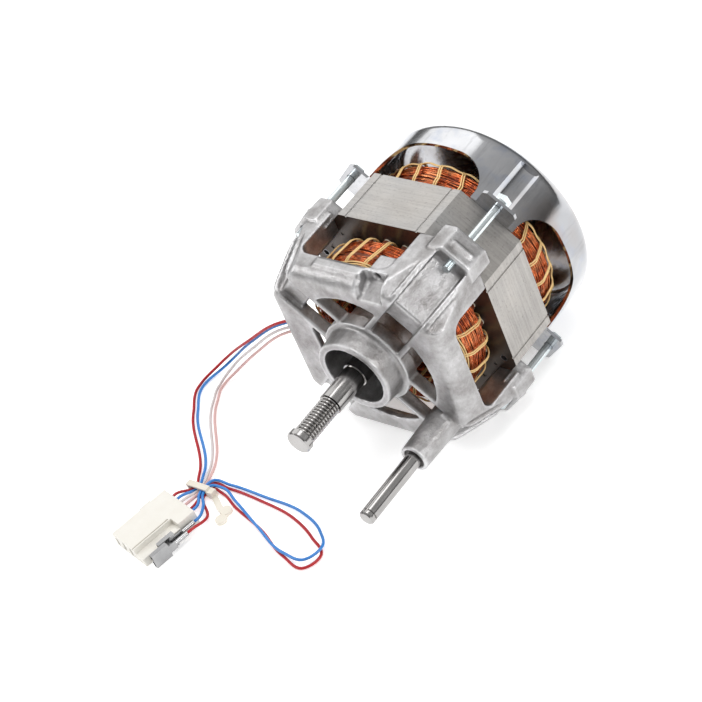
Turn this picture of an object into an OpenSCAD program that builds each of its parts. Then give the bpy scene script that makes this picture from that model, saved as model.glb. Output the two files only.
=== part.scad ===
// Dryer motor: laminated stator clamped between a cast front shield and a pressed rear bowl.
// Shaft forward along -Y, +Z up, resting on the front lugs and the bowl, centred over the ground.

/* [Stator stack] */
// Half size of the lamination stack across its flats
stack_half = 47.7; // [45:0.1:48]
// Half width of each flat face of the stack
flat_half = 24.2; // [22:0.1:26]
// Length of the lamination stack
stack_len = 28.4; // [20:0.2:45]
// Radius of the stator bore
bore_r = 26.5; // [26:0.1:27.5]
// Number of stator slots
slot_count = 24; // [20:1:25]
// Width of a stator slot
slot_w = 4.2; // [3.4:0.1:4.6]
// Width of a slot's mouth at the bore
slot_mouth = 2.2; // [1.5:0.1:3]
// Thickness of the tooth tips between the bore and the slot
tip_t = 1.8; // [1.2:0.1:2.4]
// Radius of the slot bottoms
slot_out_r = 38.6; // [36:0.1:40]
// Thickness of the slot liner
liner_t = 0.3; // [0.2:0.05:0.5]
// Thickness of the slot wedge
wedge_t = 1.2; // [0.8:0.1:2]
// How far the liners stand out of the stack
liner_out = 0.3; // [0.1:0.1:0.5]
// Depth of the weld grooves along the stack
groove_d = 0.6; // [0.3:0.1:1.2]
// Distance of the weld grooves from the edges of each flat
groove_in = 4.5; // [3:0.5:8]
// Radius of the stack's rivets
rivet_r = 1.8; // [1.2:0.1:2.4]
// Distance of a rivet from the axis
rivet_at = 47.2; // [45:0.1:48]
// Angle of a rivet from the middle of a flat
rivet_angle = 26.5; // [24:0.5:28]

/* [Windings] */
// Gap between the stack and the end windings, which the lacing passes through
bundle_gap = 1.9; // [1.9:0.1:3]
// Inner radius of both end windings
bundle_in_r = 30; // [29.6:0.1:31]
// Outer radius of the front end winding
front_bundle_r = 41.2; // [39:0.1:41.4]
// Length of the front end winding
front_bundle_l = 18; // [12:0.5:19]
// Outer radius of the rear end winding
rear_bundle_r = 44.6; // [41:0.1:45]
// Length of the rear end winding
rear_bundle_l = 14.5; // [10:0.5:16]
// Corner radius of the end windings
bundle_round = 5; // [3:0.5:5.5]
// Diameter of the lacing cord
lace_d = 1.2; // [0.8:0.1:1.3]
// Clearance between the lacing and the winding, outside the chords of its corners
lace_clear = 0.55; // [0.55:0.05:0.7]

/* [Rotor] */
// Air gap between the rotor and the bore
air_gap = 0.35; // [0.25:0.05:0.6]
// Number of rotor bars
bar_count = 30; // [18:1:34]
// Radius of a rotor bar
bar_r = 1.6; // [1:0.1:1.8]
// Depth of the bar centres below the rotor's surface
bar_depth = 2.6; // [2.2:0.1:4]
// Length of each end ring
ring_l = 7; // [4:0.5:9]
// Inner radius of the end rings
ring_in_r = 17; // [14:0.5:20]
// How far the end rings stay inside the rotor's surface
ring_step = 0.6; // [0.3:0.1:1.5]
// Number of fan blades on each end ring
blade_count = 10; // [6:1:16]
// Thickness of a fan blade
blade_t = 1.6; // [1:0.1:2.5]
// Length of a fan blade
blade_l = 4; // [2:0.5:4.5]

/* [Shaft] */
// Radius of the shaft inside the rotor, up to the shoulders that the bearings seat on
seat_r = 8; // [7.8:0.1:8.2]
// Radius of the bearing journals
journal_r = 6; // [5.8:0.1:6.2]
// Radius of the smooth shaft in front of the hub
nose_r = 5.5; // [5:0.1:5.7]
// Distance of the shaft's front end from the stack
shaft_end = 88.5; // [85:0.5:100]
// Length of the head at the shaft's front end
head_l = 4.2; // [3:0.1:6]
// Radius of the head
head_r = 5.9; // [5.2:0.1:6.5]
// Pitch of the belt grooves
groove_pitch = 1.6; // [1.2:0.1:1.6]
// Number of belt grooves
groove_count = 12; // [6:1:12]
// Radius of the ridges between the grooves
ridge_r = 4.95; // [4.5:0.05:5.2]
// Depth of the belt grooves
belt_groove_d = 1.1; // [0.8:0.05:1.3]

/* [Bearings] */
// Outer radius of both bearings
bearing_r = 16; // [15.6:0.1:16.4]
// Width of both bearings
bearing_w = 10; // [9:0.5:11]
// Number of balls in a bearing
ball_count = 7; // [6:1:8]
// Radius of a ball
ball_r = 3; // [2.6:0.1:3.1]
// Clearance of the balls in their races
ball_clear = 0.05; // [0.03:0.01:0.1]
// Thickness of a bearing shield
bshield_t = 0.5; // [0.3:0.1:0.8]
// Gap between a bearing shield and the inner ring
bshield_gap = 0.2; // [0.1:0.05:0.4]
// Distance of the front bearing's rear face from the stack
front_bearing_at = 14; // [13.5:0.1:15]
// Space for the wave washer behind the rear bearing
washer_space = 2.5; // [1.5:0.1:4]
// Thickness of the wave washer's sheet
washer_t = 0.5; // [0.3:0.1:0.8]

/* [Front shield] */
// Half size of the shield across its sides
shield_half = 47.7; // [46.5:0.1:48]
// Distance of the shield's front face from the stack
plate_at = 36.3; // [35:0.1:38]
// Thickness of the shield's front plate
plate_t = 3.5; // [2.5:0.1:4.5]
// Thickness of the shield's side walls
side_t = 3.2; // [2.5:0.1:3.4]
// Rounding of the edges between the front and the sides
edge_r = 7.5; // [5:0.5:9]
// Distance from the axis of the corner faces at the stack's front face
corner_r = 62.9; // [61:0.1:64]
// Lean of the corner faces
corner_lean = 17.6; // [14:0.1:19]
// Distance from the axis of the inner corner faces
inner_corner_r = 46; // [44.5:0.1:46.5]
// Height of the side windows above the stack
window_h = 25.2; // [23:0.1:26]
// Distance from the middle to the edge of a window beside a slim leg
slim_edge = 28; // [27:0.1:29]
// Distance from the middle to the edge of a window beside the wide leg
wide_edge = 21.8; // [20:0.1:24]
// Corner radius of the windows
window_round = 6; // [3:0.5:8]
// Radius of the opening round the hub
vent_r = 35.4; // [33:0.1:37]
// Distance of the left vent's outer edge from the axis
vent_left = 27.4; // [26.5:0.1:30]
// Rounding where an arm turns down into its leg
arm_round = 7; // [4:0.5:8]
// Distance between the two ribs of an arm, inside
arm_gap = 15.5; // [13:0.1:17]
// Thickness of an arm's ribs
rib_t = 2.5; // [1.8:0.1:3.5]
// Depth of the channel between the ribs, on the front
arm_channel = 3.2; // [2:0.1:4]
// Thickness of the arm's floor
arm_floor = 3.2; // [2:0.1:4]
// Distance from the axis of an arm slot's outer end
slot_end_r = 36.6; // [34:0.1:38]
// Distance from the axis of the leg channel's floor at the stack's front face
channel_r = 55.9; // [55:0.1:56.5]
// Lean of the leg channel's floor
channel_lean = 13.1; // [10:0.1:15]
// Half size of the shield across its lugs, which the motor rests on
lug_half = 49; // [48.2:0.1:50]
// Length of a lug in front of the stack's front face
lug_front = 7; // [5:0.1:9]
// Length of a lug over the stack
lug_back = 6.5; // [4:0.1:9]
// Half width of a lug
lug_w = 12.4; // [11:0.1:13]
// Distance from the axis of a lug's corner face
lug_corner = 62; // [61:0.1:63]

/* [Hub] */
// Outer radius of the hub's rim
hub_r = 18.6; // [18:0.1:19.5]
// Radius of the hub's bore
hub_bore_r = 15.3; // [14.5:0.1:15.8]
// Outer radius of the hub at its root
hub_root_r = 19.6; // [19:0.1:20.5]
// Distance of the hub's rim from the stack
hub_front = 47; // [44:0.1:50]
// Outer radius of the ring round the hub's root
ring_r = 22; // [21:0.1:23]
// Height of the ring above the front plate
ring_up = 0.6; // [0.3:0.1:1.5]
// Wall of the bearing seat
seat_wall = 2.8; // [2:0.1:4]
// Thickness of the lip in front of the bearing
lip_t = 2; // [1.5:0.1:3]
// Radius of the hole in the lip
lip_hole_r = 8.5; // [8.2:0.1:11]
// Number of thin ribs inside the hub
hub_rib_count = 6; // [3:1:8]
// Height of the thin ribs inside the hub
hub_rib_h = 3; // [1.5:0.1:5]

/* [Stud and screw boss] */
// Distance of the stud's axis from the motor's axis, to the right and down
stud_off = 30; // [29:0.1:31]
// Radius of the stud
stud_r = 3.75; // [3:0.05:4]
// Distance of the stud's end from the stack
stud_end = 94.8; // [85:0.1:110]
// Depth of the stud in its boss
stud_depth = 22; // [12:0.5:23]
// Distance of the stud boss's mouth from the stack
boss_front = 58.8; // [54:0.1:64]
// Radius of the stud boss at its mouth
boss_r = 6.7; // [6.2:0.1:7]
// Radius of the stud boss at its root
boss_root_r = 7.5; // [7:0.1:7.7]
// Radius of the recess in the boss's mouth
recess_r = 5; // [4.5:0.1:5.8]
// Depth of the recess in the boss's mouth
recess_d = 2.4; // [1:0.1:4]
// Distance of the retaining groove from the stud's end
clip_back = 2.4; // [1.5:0.1:4]
// Width of the retaining groove
clip_w = 1; // [0.6:0.1:1.4]
// Depth of the retaining groove
clip_d = 0.6; // [0.3:0.1:1]
// Distance of the screw hole to the right of the motor's axis
screw_x = 17; // [15:0.1:18]
// Distance of the screw hole above the motor's axis
screw_z = 45; // [44.6:0.1:45.2]
// Width of the pad round the screw hole
pad_w = 10; // [8:0.5:11]
// Length of the pad round the screw hole
pad_l = 10.6; // [9.8:0.1:12]
// Radius of the screw hole
screw_r = 1.5; // [1:0.05:1.6]
// Depth of the screw hole
screw_depth = 8; // [4:0.5:9]
// Distance of the screw pad from the stack
pad_at = 26.6; // [26:0.1:28]

/* [Rear bowl] */
// Thickness of the bowl's sheet
sheet_t = 1.5; // [1:0.1:2]
// Outer radius of the bowl's wall
bowl_r = 53; // [51:0.1:54]
// Length of the bowl behind the stack
bowl_l = 37.6; // [36.5:0.1:40]
// Rounding between the wall and the end
bowl_round = 9; // [5:0.5:12]
// Height of the bowl's windows
bowl_window_h = 19; // [16:0.5:22]
// Half width of the bowl's windows
bowl_window_w = 28.2; // [26:0.1:29]
// Corner radius of the bowl's windows
bowl_window_round = 16; // [4:0.5:16]
// Distance from the axis of a clamping ear's tip
ear_r = 62; // [61:0.1:63]
// Half width of a clamping ear
ear_w = 9; // [8:0.1:11]
// Radius of the pressed channel behind each ear
press_r = 8; // [6.4:0.1:8.4]
// Distance from the axis of the pressed channel's centre
press_at = 58.8; // [58.2:0.1:59.6]

/* [Through bolts] */
// Distance of the bolts from the motor's axis
bolt_at = 57.8; // [57.4:0.1:58.2]
// Radius of a bolt
bolt_r = 2; // [1.5:0.05:2.2]
// Length of a bolt in front of the stack
bolt_tip = 11.1; // [9:0.1:12]
// Width of a bolt's head across its flats
hex_af = 7; // [6:0.5:8]
// Height of a bolt's head
hex_h = 3.2; // [2:0.1:5]
// Radius of a bolt's flange
flange_r = 4.4; // [4:0.1:4.8]
// Thickness of a bolt's flange
flange_t = 1; // [0.6:0.1:1.5]
// Clearance of a bolt in its ear
ear_clear = 0.25; // [0.1:0.05:0.5]
// Pitch of the bolt's thread
thread_pitch = 0.7; // [0.5:0.05:1]

/* [Harness] */
// Diameter of a lead over its insulation
wire_d = 1.4; // [1.2:0.1:1.5]
// Length of the connector housing
plug_l = 31.5; // [26:0.5:36]
// Width of the connector housing
plug_w = 24; // [22:0.5:26]
// Height of the connector housing
plug_h = 7.5; // [7:0.1:9]
// Height of the connector's low side
plug_low = 4.6; // [4:0.1:5]
// Width of the connector's low side
plug_low_w = 6; // [4:0.5:7]
// Width of a receptacle terminal
term_w = 7.4; // [6.6:0.1:8]
// Length of a receptacle terminal's socket
term_l = 9; // [7:0.5:11]
// Thickness of a receptacle terminal
term_h = 2.4; // [2:0.1:3]
// Width of the cable tie
tie_w = 3; // [2:0.1:4]
// Thickness of the cable tie
tie_t = 0.9; // [0.6:0.1:1.3]

/* [Hidden] */
$fn = 96;
// A cut reaches this far past the face that it opens
over = 1;
root2 = sqrt(2);
axis_h = lug_half;
bowl_end = stack_len + bowl_l;
axis_y = (stud_end - bowl_end) / 2;
bevel_r = (stack_half + flat_half) / root2;
slot_in_r = bore_r + tip_t;
slot_round = slot_w / 2;
bar_w = slot_w - 2 * liner_t;
rotor_r = bore_r - air_gap;
bar_at = rotor_r - bar_depth;
ring_out_r = rotor_r - ring_step;
plate_back = plate_at - plate_t;
inner_half = shield_half - side_t;
arm_w = arm_gap + 2 * rib_t;
floor_top = plate_at - arm_channel;
floor_back = floor_top - arm_floor;
front_bearing_end = front_bearing_at + bearing_w;
rear_bearing_at = bowl_l - sheet_t - washer_space - bearing_w;
lip_front = front_bearing_end + lip_t;
ball_at = (bearing_r + journal_r) / 2;
race_gap = (bearing_r - journal_r) * 0.23;
rear_bearing_end = stack_len + rear_bearing_at + bearing_w;
grooves_end = shaft_end - head_l;
grooves_start = grooves_end - groove_count * groove_pitch;
ear_back = -stack_len - sheet_t;
ear_in_r = min(press_at - press_r, bowl_r) - sheet_t - 0.5;
lace_loops = slot_count - 1;
lace_front = bundle_gap + front_bundle_l + lace_clear + lace_d;
pad_low = screw_z - 2.6;
pad_foot = vent_r + 3;
bundle_front = bundle_gap + front_bundle_l;
wire_r = wire_d / 2;
// The connector's rear face: its middle, and its turn about the vertical
plug_at = [-75, -94.6];
plug_turn = -13;
entry_from = -8.6;
entry_pitch = 3.3;
entry_up = 4;
term_side = plug_w / 2 + 0.3 + term_h / 2;
term_pitch = term_h + 0.4;
mouth_from = -10.2;
mouth_pitch = 5.6;
mouth_z = 1.4;
crimp_l = 8;
neck_l = 3;
// How far behind the connector's rear face each terminal's crimp starts, negative beside the housing
blue_term_back = -3;
red_term_back = -9;
// The tie's band: its middle along Y, and the inner faces of its sides
tie_y = -82.5;
tie_left = -80.3;
tie_right = -69.45;
tie_high = 4.2;

// A point of the connector's own frame: across it, behind its rear face, and above the ground
function plug_point(across, back, up) = [
    plug_at[0] + across * cos(plug_turn) - back * sin(plug_turn),
    plug_at[1] + across * sin(plug_turn) + back * cos(plug_turn),
    up
];

// Routes of the wires along their centres, in the stored frame
red_route = [
    [-40.3, 4.4, 40.4], [-66, -6, 39.6], [-94, -9.4, 22.5], [-118, -15, 4.4], [-122.6, -26, 0.8],
    [-113, -43, 0.8], [-82.6, -74.4, 1], [-78.4, -82.5, 1.75]
];
blue_route = [
    [-39.9, 4.4, 38.65], [-66, -4.6, 37.6], [-94, -7.8, 20.6], [-116.4, -13.6, 2.4], [-120.4, -26, 0.8],
    [-111.2, -41.6, 0.8], [-80.8, -73, 0.9], [-76.8, -82.5, 1.75]
];
white_route = [
    [-39.4, 4.4, 36.9], [-68, -6.4, 34.8], [-92, -10, 19], [-107.6, -15.4, 6.4], [-112, -23, 0.9],
    [-107.6, -34, 0.8], [-79.2, -71, 0.9], [-75.2, -82.5, 1.75]
];
pink_route = [
    [-38.8, 4.4, 35.15], [-67, -6, 32.4], [-90.6, -9.6, 16.6], [-105.6, -15, 4.4], [-110, -22.4, 0.8],
    [-105.6, -33, 0.8], [-77.4, -70, 0.9], [-73.6, -82.5, 1.75]
];
jumper_blue_route = [
    [-72.1, -84.5, 3.3], [-72.1, -80.5, 3.3], [-71.4, -77, 3.2], [-62, -74.8, 1.6], [-42, -74.6, 0.8],
    [-18, -76, 0.8], [-2, -82.6, 1.4], [5.6, -90.8, 2.4], [2.6, -98.8, 2.4], [-10, -99.4, 2.3],
    [-32, -91.2, 2.3], [-52, -82.6, 2.2], [-64, -78.2, 2.6], [-70.2, -80, 3.3],
    [-70.3, -84.5, 3.3], [-65, -90.6, 3.6]
];
jumper_red_route = [
    [-72.1, -84.5, 1.75], [-72.1, -80.5, 1.75], [-71.6, -77.4, 1.5], [-62, -76.4, 0.8], [-42, -77.2, 0.8],
    [-20, -80.2, 0.8], [-4, -86.6, 0.8], [7, -94.6, 0.8], [4, -102, 0.8], [-10, -100.2, 0.8],
    [-30, -91.4, 0.8], [-52, -84.4, 0.8], [-63, -80, 0.9], [-69.9, -80.1, 1.75],
    [-70.3, -84.5, 1.75], [-59.4, -96, 2.2]
];

// The wires' ends in the connector and in the terminals
function entry(k) = entry_from + k * entry_pitch;
function plugged(route, k) =
    concat(route, [plug_point(entry(k), 2 * wire_d, entry_up), plug_point(entry(k), 0, entry_up)]);
function unplugged(k, up, route, side, back) = concat(
    [plug_point(entry(k), 0, up), plug_point(entry(k), 2 * wire_d, up)],
    route,
    [plug_point(side, back + 2 * wire_d, term_w / 2), plug_point(side, back, term_w / 2)]
);
red_path = plugged(red_route, 0);
blue_path = plugged(blue_route, 1);
white_path = plugged(white_route, 2);
pink_path = plugged(pink_route, 3);
jumper_red_path = unplugged(4, entry_up - 1, jumper_red_route, term_side + term_pitch, red_term_back);
jumper_blue_path = unplugged(5, entry_up + 0.6, jumper_blue_route, term_side, blue_term_back);

// Vectors along and across a route
function unit(v) = v / norm(v);
function clamp_index(i, n) = max(0, min(n - 1, i));
function headings(path) = [
    for (i = [0:len(path) - 1])
        unit(path[clamp_index(i + 1, len(path))] - path[clamp_index(i - 1, len(path))])
];
function square_to(v, along) = unit(v - (v * along) * along);
function first_side(along) = square_to(abs(along[2]) < 0.8 ? [0, 0, 1] : [1, 0, 0], along);
function sides_along(t) = [
    for (i = 0, u = first_side(t[0]); i < len(t); i = i + 1, u = i < len(t) ? square_to(u, t[i]) : u) u
];

// A round tube along a path, as one closed skin of triangles
module tube(path, r, sides) {
    n = len(path);
    t = headings(path);
    u = sides_along(t);
    skin = [
        for (i = [0:n - 1])
            let (w = cross(t[i], u[i]))
            for (j = [0:sides - 1])
                path[i] + r * (cos(360 * j / sides) * u[i] + sin(360 * j / sides) * w)
    ];
    wall = [
        for (i = [0:n - 2])
            for (j = [0:sides - 1])
                let (a = i * sides + j, b = i * sides + (j + 1) % sides)
                for (face = [[a, a + sides, b], [b, a + sides, b + sides]]) face
    ];
    last = (n - 1) * sides;
    ends = [
        for (j = [1:sides - 2])
            for (face = [[0, j, j + 1], [last, last + j + 1, last + j]]) face
    ];
    polyhedron(skin, concat(wall, ends));
}

// The lacing: once round the winding's section in twelve steps, moving on by one slot over its face
lace_steps = 12;
lace_off = lace_clear + lace_d / 2;
lace_advance = [0, 0, 0, 0.17, 0.33, 0.5, 0.67, 0.83, 1, 1, 1, 1];
function lace_path(out_r, length) = [
    for (k = [0:lace_loops * lace_steps - 1])
        let (
            loop = floor(k / lace_steps),
            step = k % lace_steps,
            corner = floor(step / 3),
            turn = corner * 90 - 90 + 45 * (step % 3),
            centre_r = corner < 2 ? out_r - bundle_round : bundle_in_r + bundle_round,
            centre_z = bundle_gap + (corner == 0 || corner == 3 ? bundle_round : length - bundle_round),
            reach = bundle_round + lace_off,
            r = centre_r + reach * cos(turn),
            z = centre_z + reach * sin(turn),
            tooth = 360 / slot_count,
            angle = 210 + tooth * (0.5 + loop + lace_advance[step])
        )
        [r * cos(angle), r * sin(angle), z]
];
function least_gap(path, d) = min([
    for (i = [0:len(path) - 1])
        for (j = [i + 5:1:len(path) - 1])
            norm(path[i] - path[j]) - d
]);
front_lace = lace_path(front_bundle_r, front_bundle_l);
rear_lace = lace_path(rear_bundle_r, rear_bundle_l);
echo("least gap of the front lacing to itself", least_gap(front_lace, lace_d));
echo("least gap of the rear lacing to itself", least_gap(rear_lace, lace_d));

// The motor's own frame: the shaft along +Z, with the stack's front face at zero
module in_place() translate([0, axis_y, axis_h]) rotate([90, 0, 0]) children();
// Distances behind the stack's rear face, in the motor's own frame
module behind() translate([0, 0, -stack_len]) mirror([0, 0, 1]) children();
// The four diagonals, with +X pointing out along each
module at_corners() for (k = [0:3]) rotate(45 + 90 * k) children();
// The connector's own frame
module at_plug() translate([plug_at[0], plug_at[1], 0]) rotate(plug_turn) children();

// A ring with a square section
module ring(outer, inner, length) difference() {
    cylinder(r = outer, h = length);
    translate([0, 0, -over]) cylinder(r = inner, h = length + 2 * over);
}
// An upright outline with two rounded upper corners
module arch(left, right, bottom, top, r) {
    translate([left, bottom]) square([right - left, top - r - bottom]);
    translate([left + r, bottom]) square([right - left - 2 * r, top - bottom]);
    for (x = [left + r, right - r]) translate([x, top - r]) circle(r);
}
// A square block with its upper edges rounded
module loaf(half, bottom, top, r) intersection() {
    rotate([90, 0, 0]) translate([0, 0, -half - over]) linear_extrude(2 * (half + over))
        arch(-half, half, bottom, top, r);
    rotate([90, 0, 90]) translate([0, 0, -half - over]) linear_extrude(2 * (half + over))
        arch(-half, half, bottom, top, r);
}
// A space beyond a leaning face across +X
module beyond(distance, lean) translate([distance, 0, 0]) rotate([0, -lean, 0])
    translate([0, -shield_half, -shield_half]) cube([2 * shield_half, 2 * shield_half, 4 * shield_half]);

// Laminated stack
module stack_outline() intersection() {
    square(2 * stack_half, center = true);
    rotate(45) square(2 * bevel_r, center = true);
}
module slot_outline(width, from) {
    translate([from, -width / 2]) square([slot_out_r - slot_round - from, width]);
    translate([slot_out_r - slot_round, 0]) circle(d = width);
}
module at_slots() for (k = [0:slot_count - 1]) rotate(360 * k / slot_count) children();
module stator_core() color("#b3aaa0") in_place() difference() {
    translate([0, 0, -stack_len]) linear_extrude(stack_len) difference() {
        stack_outline();
        circle(bore_r);
        at_slots() {
            slot_outline(slot_w, slot_in_r);
            translate([0, -slot_mouth / 2]) square([slot_in_r + over, slot_mouth]);
        }
        for (k = [0:3]) rotate(90 * k) {
            for (x = [-1, 1]) translate([x * (flat_half - groove_in), stack_half]) circle(groove_d);
            rotate(-rivet_angle) translate([0, rivet_at]) circle(rivet_r);
        }
    }
    at_corners() for (s = [-1, 1]) rotate(9 * s) translate([44.6, 0, 0]) cube([1.6, 3, 0.8], center = true);
}
module stack_rivets() color("#8b8b8f") in_place() for (k = [0:3]) rotate(90 * k - rivet_angle)
    translate([0, rivet_at, -stack_len]) ring(rivet_r, rivet_r - 0.3, stack_len);

// Windings
module bundle(out_r, length) translate([0, 0, bundle_gap]) rotate_extrude()
    translate([bundle_in_r, 0]) {
        wide = out_r - bundle_in_r;
        translate([bundle_round, 0]) square([wide - 2 * bundle_round, length]);
        translate([0, bundle_round]) square([wide, length - 2 * bundle_round]);
        for (x = [bundle_round, wide - bundle_round]) for (z = [bundle_round, length - bundle_round])
            translate([x, z]) circle(bundle_round);
    }
module stator_winding() color("#b5532d") in_place() {
    bundle(front_bundle_r, front_bundle_l);
    behind() bundle(rear_bundle_r, rear_bundle_l);
    reach = bundle_gap + bundle_round / 2;
    at_slots() translate([0, 0, -stack_len - reach]) linear_extrude(stack_len + 2 * reach)
        slot_outline(bar_w, slot_in_r + wedge_t);
}
module slot_liners() color("#e6dfc8") in_place() at_slots()
    translate([0, 0, -stack_len - liner_out]) linear_extrude(stack_len + 2 * liner_out) difference() {
        slot_outline(slot_w, slot_in_r);
        slot_outline(bar_w, slot_in_r - over);
    }
module slot_wedges() color("#a8884a") in_place() at_slots()
    translate([slot_in_r, -bar_w / 2, -stack_len - liner_out])
        cube([wedge_t, bar_w, stack_len + 2 * liner_out]);
module front_lacing() color("#ead9a0") in_place() tube(front_lace, lace_d / 2, 6);
module rear_lacing() color("#ead9a0") in_place() behind() tube(rear_lace, lace_d / 2, 6);

// Rotor
module at_bars() for (k = [0:bar_count - 1]) rotate(360 * (k + 0.5) / bar_count) translate([bar_at, 0]) children();
module rotor_core() color("#77757a") in_place() translate([0, 0, -stack_len])
    linear_extrude(stack_len) difference() {
        circle(rotor_r);
        circle(seat_r);
        at_bars() circle(bar_r);
    }
module end_ring() {
    ring(ring_out_r, ring_in_r, ring_l);
    for (k = [0:blade_count - 1]) rotate(360 * k / blade_count)
        translate([ring_in_r + 1, -blade_t / 2, ring_l - over])
            cube([ring_out_r - ring_in_r - 2, blade_t, blade_l + over]);
}
module rotor_cage() color("#c9cacd") in_place() {
    end_ring();
    behind() end_ring();
    translate([0, 0, -stack_len]) linear_extrude(stack_len) at_bars() circle(bar_r);
}

// Shaft, turned along its length
module shaft_profile() {
    rear_end = -rear_bearing_end - 1;
    square_from = function(from, to, r) [[0, from], [r, from], [r, to], [0, to]];
    polygon(square_from(rear_end, front_bearing_end + 22, journal_r));
    polygon(square_from(-stack_len - rear_bearing_at, front_bearing_at, seat_r));
    polygon(square_from(front_bearing_end + 22 - over, grooves_start - groove_pitch / 2, nose_r));
    polygon(square_from(grooves_start - over, grooves_end + over, ridge_r - belt_groove_d));
    polygon([
        [0, grooves_end + 0.4], [head_r - 0.6, grooves_end + 0.4], [head_r, grooves_end + 1],
        [head_r, shaft_end - 0.6], [head_r - 0.6, shaft_end], [0, shaft_end]
    ]);
    crest = groove_pitch * 0.16;
    for (k = [0:groove_count]) translate([0, grooves_start + k * groove_pitch]) polygon([
        [0, -groove_pitch / 2], [ridge_r - belt_groove_d, -groove_pitch / 2],
        [ridge_r, -crest], [ridge_r, crest],
        [ridge_r - belt_groove_d, groove_pitch / 2], [0, groove_pitch / 2]
    ]);
}
module shaft() color("#c4c5c9") in_place() difference() {
    rotate_extrude() shaft_profile();
    translate([0, 0, grooves_start - groove_pitch / 2 - 2.2]) rotate(-60)
        translate([nose_r - 0.5, -1.2, 0]) cube([2, 2.4, 1.4]);
}

// Ball bearings
module race_groove() rotate_extrude() translate([ball_at, 0]) circle(ball_r + ball_clear);
module outer_ring() difference() {
    ring(bearing_r, ball_at + race_gap, bearing_w);
    translate([0, 0, bearing_w / 2]) race_groove();
}
module inner_ring() difference() {
    ring(ball_at - race_gap, journal_r, bearing_w);
    translate([0, 0, bearing_w / 2]) race_groove();
}
module balls() for (k = [0:ball_count - 1]) rotate(360 * k / ball_count)
    translate([ball_at, 0, bearing_w / 2]) sphere(ball_r);
module bearing_shields() for (z = [0.4, bearing_w - 0.4 - bshield_t]) translate([0, 0, z])
    ring(ball_at + race_gap, ball_at - race_gap + bshield_gap, bshield_t);
module at_front_bearing() in_place() translate([0, 0, front_bearing_at]) children();
module at_rear_bearing() in_place() behind() translate([0, 0, rear_bearing_at]) children();
module front_bearing_outer_ring() color("#aeb0b5") at_front_bearing() outer_ring();
module front_bearing_inner_ring() color("#aeb0b5") at_front_bearing() inner_ring();
module front_bearing_balls() color("#d8dade") at_front_bearing() balls();
module front_bearing_shields() color("#8d8f94") at_front_bearing() bearing_shields();
module rear_bearing_outer_ring() color("#aeb0b5") at_rear_bearing() outer_ring();
module rear_bearing_inner_ring() color("#aeb0b5") at_rear_bearing() inner_ring();
module rear_bearing_balls() color("#d8dade") at_rear_bearing() balls();
module rear_bearing_shields() color("#8d8f94") at_rear_bearing() bearing_shields();

// Wave washer between the rear bearing and the bowl, three waves round
module wave_washer() color("#9a9ca1") in_place() behind()
    translate([0, 0, rear_bearing_at + bearing_w]) {
        swing = (washer_space - washer_t) / 2 - 0.02;
        steps = 48;
        points = [
            for (k = [0:steps - 1])
                let (a = 360 * k / steps, z = washer_space / 2 + swing * sin(3 * a))
                for (p = [
                    [bearing_r - 3.6, z - washer_t / 2], [bearing_r - 0.6, z - washer_t / 2],
                    [bearing_r - 0.6, z + washer_t / 2], [bearing_r - 3.6, z + washer_t / 2]
                ])
                    [p[0] * cos(a), p[0] * sin(a), p[1]]
        ];
        polyhedron(points, [
            for (k = [0:steps - 1])
                for (j = [0:3])
                    let (
                        a = 4 * k + j, b = 4 * k + (j + 1) % 4,
                        c = 4 * ((k + 1) % steps) + j, d = 4 * ((k + 1) % steps) + (j + 1) % 4
                    )
                    for (face = [[a, c, b], [b, c, d]]) face
        ]);
    }

// Front shield
module corner_faces() difference() {
    children();
    at_corners() {
        beyond(corner_r, corner_lean);
        arm_bend();
        for (s = [-1, 1]) intersection() {
            beyond(corner_r - 1.8, corner_lean);
            translate([0, s * (arm_w / 2 + shield_half), 0]) cube([4 * shield_half, 2 * shield_half, 4 * shield_half], center = true);
        }
    }
}
module arm_bend() {
    centre_a = plate_at - arm_round;
    centre_r = corner_r - centre_a * tan(corner_lean) - arm_round / cos(corner_lean);
    low_a = centre_a + arm_round * sin(corner_lean);
    rotate([90, 0, 0]) translate([0, 0, -shield_half]) linear_extrude(2 * shield_half) difference() {
        polygon([
            [centre_r, centre_a], [centre_r, plate_at + over], [corner_r, plate_at + over], [corner_r, low_a],
            [centre_r + arm_round * cos(corner_lean), low_a]
        ]);
        translate([centre_r, centre_a]) circle(arm_round);
    }
}
module shield_envelope() corner_faces() loaf(shield_half, 0, plate_at, edge_r);
module shield_windows() {
    edges = [[-slim_edge, wide_edge], [-slim_edge, slim_edge], [-slim_edge, slim_edge], [-wide_edge, slim_edge]];
    for (k = [0:3]) rotate(90 * k) translate([0, shield_half + over, 0]) rotate([90, 0, 0])
        linear_extrude(shield_half - bundle_in_r) arch(edges[k][0], edges[k][1], -over, window_h, window_round);
}
module shield_shell() difference() {
    shield_envelope();
    intersection() {
        loaf(inner_half, -over, plate_back, edge_r - side_t);
        rotate(45) cube([2 * inner_corner_r, 2 * inner_corner_r, 4 * shield_half], center = true);
    }
    shield_windows();
    translate([0, 0, window_h]) cylinder(r = vent_r, h = plate_at);
    pad_slice([
        [pad_low, pad_at], [shield_half + over, pad_at], [shield_half + over, plate_at + over],
        [pad_foot, plate_at + over], [pad_foot, plate_at]
    ]);
}
module pad_slice(outline) translate([screw_x - pad_w / 2 - 2, 0, 0]) rotate([90, 0, 90])
    linear_extrude(pad_w + 4) polygon(outline);
module pad_slope() pad_slice([
    [vent_r + 1, plate_at], [vent_r + 1, lace_front + 1.2], [screw_z, lace_front + 1.2], [screw_z, pad_at],
    [pad_low, pad_at], [pad_foot, plate_at]
]);
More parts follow.
